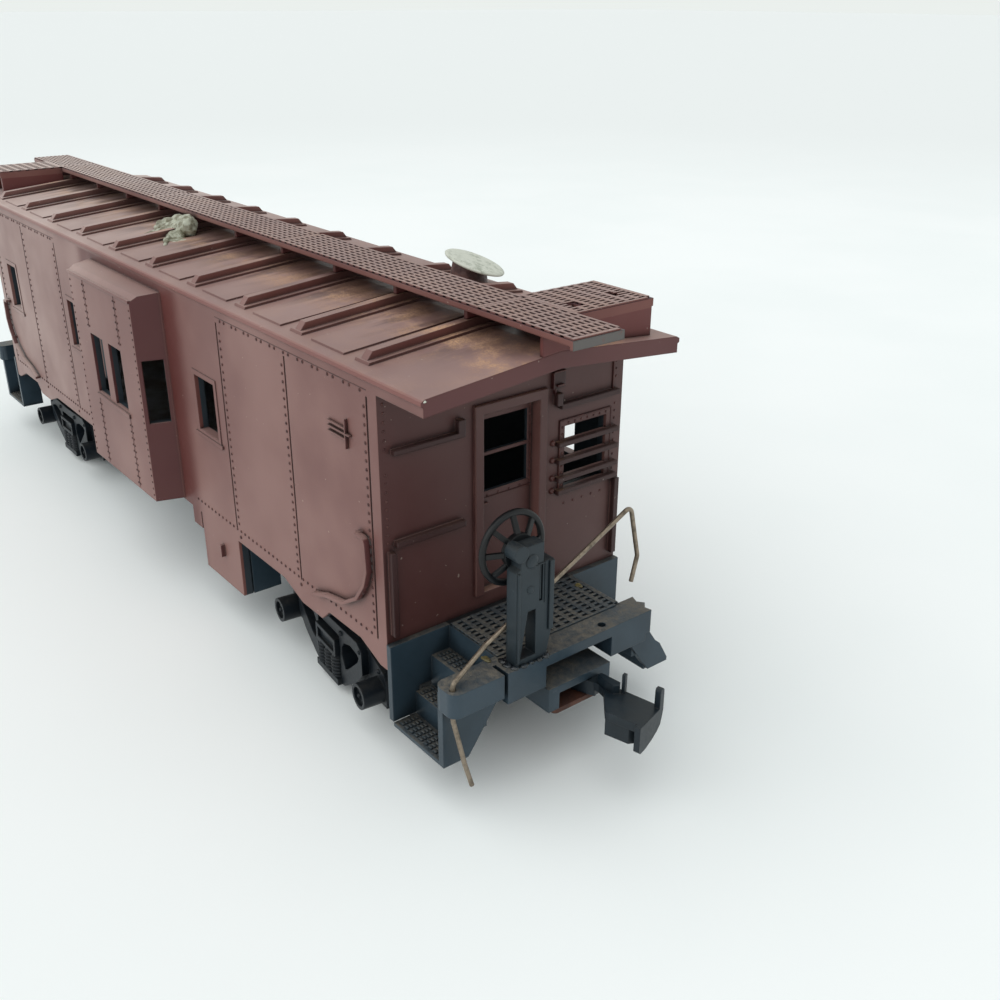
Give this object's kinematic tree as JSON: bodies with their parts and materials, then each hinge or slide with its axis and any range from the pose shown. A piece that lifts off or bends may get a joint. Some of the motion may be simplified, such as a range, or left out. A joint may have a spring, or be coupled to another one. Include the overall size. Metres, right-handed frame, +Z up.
{
  "type": "model railway bay window caboose",
  "caption": "Small plastic model of a railway caboose with side bay windows, ribbed roof, roof walk, end platforms, brake stands and two swivelling trucks",
  "frame": {"origin": "on the rail plane under the flanges' lowest line, midway between the two truck pivots on the car's centre line", "axes": "+X along the car towards the end with the bent railing, +Y across the car, +Z up"},
  "size_m": [0.1816, 0.0434, 0.0528],
  "materials": {
    "shell_plastic": "dull moulded styrene, chalky with dust",
    "walk_plastic": "dull moulded styrene",
    "frame_plastic": "dull moulded styrene, dusty",
    "wheel_plastic": "dull moulded plastic",
    "coupler_plastic": "dull moulded plastic",
    "axle_steel": "turned, dull",
    "screw_steel": "dull",
    "weight_steel": "plain plate",
    "cover_steel": "rusted pressed strip",
    "wire": "dull bent wire",
    "disc_plastic": "plain white",
    "glue": "hardened clear glue, dusty"
  },
  "bodies": {
    "body": {"body_shell": "shell_plastic", "roof_walk": "walk_plastic", "glue_blob": "glue", "roof_disc": "disc_plastic", "disc_glue": "glue", "underframe": "frame_plastic", "floor_weight": "weight_steel", "brake_stand_near": "frame_plastic", "brake_stand_far": "frame_plastic", "brake_wheel_near": "frame_plastic", "brake_wheel_far": "frame_plastic", "railing_near": "wire", "railing_far": "wire", "coupler_cover_near": "cover_steel", "coupler_cover_far": "cover_steel", "truck_screw_near": "screw_steel", "truck_screw_far": "screw_steel"},
    "truck_near": {"truck_frame_near": "frame_plastic"},
    "wheelset_near1": {"axle_near1": "axle_steel", "wheels_near1": "wheel_plastic"},
    "wheelset_near2": {"axle_near2": "axle_steel", "wheels_near2": "wheel_plastic"},
    "coupler_arm_near": {"coupler_near": "coupler_plastic"},
    "truck_far": {"truck_frame_far": "frame_plastic"},
    "wheelset_far1": {"axle_far1": "axle_steel", "wheels_far1": "wheel_plastic"},
    "wheelset_far2": {"axle_far2": "axle_steel", "wheels_far2": "wheel_plastic"},
    "coupler_arm_far": {"coupler_far": "coupler_plastic"}
  },
  "joints": [
    {"name": "truck_swivel_near", "type": "hinge", "parent": "body", "child": "truck_near", "pos_m": [0.0498, 0, 0.0098], "axis": [0, 0, 1], "range_deg": [-6.4, 17.6]},
    {"name": "wheelset_near1_spin", "type": "hinge", "parent": "truck_near", "child": "wheelset_near1", "pos_m": [0.03766, 0.00119, 0.0054], "axis": [0.0976, 0.9952, 0], "continuous": true},
    {"name": "wheelset_near2_spin", "type": "hinge", "parent": "truck_near", "child": "wheelset_near2", "pos_m": [0.06194, -0.00119, 0.0054], "axis": [0.0976, 0.9952, 0], "continuous": true},
    {"name": "coupler_swing_near", "type": "hinge", "parent": "body", "child": "coupler_arm_near", "pos_m": [0.0745, 0, 0.01], "axis": [0, 0, 1], "range_deg": [-33, 1]},
    {"name": "truck_swivel_far", "type": "hinge", "parent": "body", "child": "truck_far", "pos_m": [-0.0498, 0, 0.0098], "axis": [0, 0, 1], "range_deg": [-12, 12]},
    {"name": "wheelset_far1_spin", "type": "hinge", "parent": "truck_far", "child": "wheelset_far1", "pos_m": [-0.062, 0, 0.0054], "axis": [0, 1, 0], "continuous": true},
    {"name": "wheelset_far2_spin", "type": "hinge", "parent": "truck_far", "child": "wheelset_far2", "pos_m": [-0.0376, 0, 0.0054], "axis": [0, 1, 0], "continuous": true},
    {"name": "coupler_swing_far", "type": "hinge", "parent": "body", "child": "coupler_arm_far", "pos_m": [-0.0745, 0, 0.01], "axis": [0, 0, 1], "range_deg": [-17, 17]}
  ]
}
